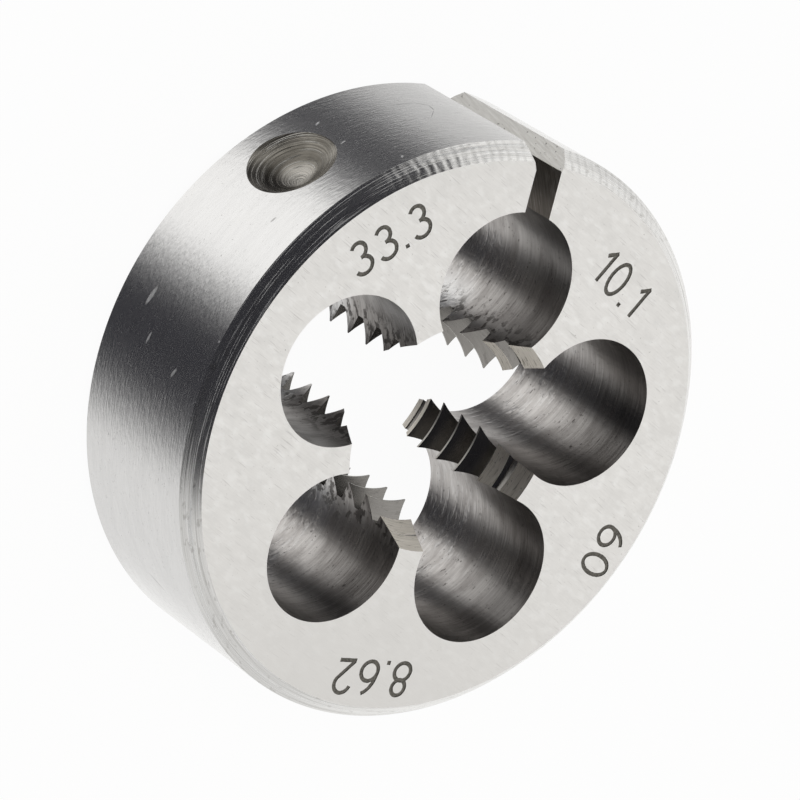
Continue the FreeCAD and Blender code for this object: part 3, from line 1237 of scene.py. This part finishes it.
# Turned lead cone: warm and pale, with fine lines, its light drawn out up and down the cone
TURNED_LEAD = SteelFinish("turned_lead", "#F8F3EA", 0.58, 0.7, Lay.LEVEL, (
    Marks(0.05, 1.5, 0.32, 0.68, "#C9C2B7", 0.50, relief=0.002, seed=5.7),
    Marks(0.09, 0.9, 0.58, 0.68, "#8C8375", 0.60, relief=-0.002, seed=14.2, detail=4.0),
    Marks(0.14, 0.2, 0.68, 0.75, "#3B3733", 0.70, relief=-0.004, seed=57.1),
))

# Tapped thread crest: a narrow pale line on each tooth
THREAD_CREST = SteelFinish("thread_crest", "#B8B5B0", 0.40, 0.3, Lay.LEVEL, (
    Marks(0.05, 1.0, 0.35, 0.68, "#A8A49D", 0.4, relief=0.003, seed=6.6),
))

# Tapped thread flank: smooth and dark, because it mirrors the dark part of the tent
THREAD_FLANK = SteelFinish("thread_flank", "#94918D", 0.24, 0.3, Lay.RINGS, (
    Marks(0.05, 1.2, 0.32, 0.68, "#767370", 0.35, relief=0.001, seed=7.5),
    Marks(0.25, 0.6, 0.58, 0.72, "#585552", 0.45, seed=16.4, detail=4.0),
))

# Drilled wall: arcs of the drill's lip and torn patches, with a painted highlight low down next to the teeth
# and painted shade that darkens the upper part of the hole towards its mouth
DRILLED_WALL = SteelFinish("drilled_wall", "#DAD6D3", 0.29, 0.50, Lay.LEVEL, (
    Marks(0.07, 3.5, 0.30, 0.70, "#A29E9A", 0.40, relief=0.003, seed=1.3),
    Marks(0.22, 4.5, 0.45, 0.60, "#B0ACA9", 0.35, relief=0.005, seed=44.0),
    Marks(0.90, 2.2, 0.44, 0.66, "#9A9491", 0.50, dulling=0.06, seed=11.5, detail=4.0),
    # partly real torn relief, partly painted highlight: paler only low in the hole
    Marks(0.30, 0.9, 0.50, 0.72, "#F2F1F0", 0.35, relief=0.014, seed=36.5, ceiling=4.6),
    # painted highlight: near-white low in the hole, next to the teeth
    Marks(0.50, 1.2, 0.15, 0.50, "#F7F6F5", 0.85, seed=70.2, limit=7.7, ceiling=4.4),
    Marks(0.20, 0.5, 0.64, 0.72, "#4F4A46", 0.60, relief=-0.005, dulling=0.12, seed=22.9, detail=5.0),
    Marks(
        0.40, 0.6, 0.52, 0.58, "#3E3934", 0.70, relief=-0.008, dulling=0.12, seed=63.8, detail=6.0, limit=7.0,
    ),
    Marks(0.12, 0.20, 0.67, 0.75, "#3B3733", 0.7, relief=-0.006, seed=31.1),
# painted shade towards the mouth of the hole
), painted_mouth_shade=MouthShade(3.8, 9.4, "#2C2927", 0.74))

# Sawn slot: dark, with a few pale slanting scratches of the slitting saw
SAWN_SLOT = SteelFinish("sawn_slot", "#948F89", 0.35, 0.3, Lay.SLANTED, (
    Marks(0.06, 2.0, 0.32, 0.68, "#57524D", 0.5, relief=0.003, seed=2.9),
    Marks(0.05, 1.6, 0.64, 0.70, "#C9C6C0", 0.6, relief=0.004, seed=13.1),
), turn=35.0)

# Milled notch: pale and even, with pits near its mouth
MILLED_NOTCH = SteelFinish("milled_notch", "#F3F1ED", 0.42, 0.3, Lay.SLANTED, (
    Marks(0.12, 1.2, 0.35, 0.66, "#CBC8C2", 0.45, relief=0.002, seed=3.8),
    Marks(0.14, 0.20, 0.70, 0.76, "#5F5A55", 0.80, relief=-0.008, seed=24.6, detail=1.0),
), turn=80.0)

# Countersunk dimple: rings of the countersink, darker and browner than the rim, with a painted dark ring and
# a painted highlight towards its middle
COUNTERSUNK_DIMPLE = SteelFinish("countersunk_dimple", "#A9A49B", 0.26, 0.0, Lay.COUNTERSUNK, (
    Marks(0.08, 4.0, 0.35, 0.65, "#6B665D", 0.60, relief=0.006, seed=5.2),
    Marks(0.06, 3.0, 0.55, 0.66, "#F2F0EB", 0.70, relief=0.006, seed=18.8),
    Marks(0.80, 1.3, 0.45, 0.70, "#57534B", 0.50, seed=26.0, detail=4.0),
    # painted shade: a broad dark ring in the cone
    Marks(1.50, 60.0, 0.60, 0.76, "#3F3B34", 0.50, seed=63.75, detail=0.0),
    # painted highlight: a broad pale zone towards the cone's middle
    Marks(1.50, 60.0, 0.58, 0.78, "#DCD8D1", 0.55, seed=35.63, detail=0.0),
))

# Etched number: burnt grey, without gloss, speckled
ETCHED_MARK = SteelFinish("etched_mark", "#85827B", 0.62, 0.0, Lay.STRAIGHT, (
    Marks(0.09, 0.12, 0.40, 0.60, "#5C5954", 0.75, relief=0.006, seed=4.9),
), turn=-23.0)

FINISHES = {
    Region.FACE: GROUND_FACE,
    Region.RIM: GROUND_RIM,
    Region.BEVEL: TURNED_BEVEL,
    Region.LEAD: TURNED_LEAD,
    Region.CREST: THREAD_CREST,
    Region.FLANK: THREAD_FLANK,
    Region.CHIP_HOLE: DRILLED_WALL,
    Region.SLOT: SAWN_SLOT,
    Region.NOTCH: MILLED_NOTCH,
    Region.DIMPLE: COUNTERSUNK_DIMPLE,
    Region.MARK: ETCHED_MARK,
}


def main() -> None:
    """Build the studio and the die, and report the piece."""
    logging.basicConfig(level=logging.INFO, format="%(message)s")
    Studio().set_up()
    die = Die(Blank(), Slot(), Engraving())
    materials = {region: finish.material(die) for region, finish in FINISHES.items()}
    piece = die.build(materials)
    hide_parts("die_body")
    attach(piece, "root")
    LOG.info("%s: %d faces", piece.name, len(piece.data.polygons))


if __name__ == "__main__":
    main()
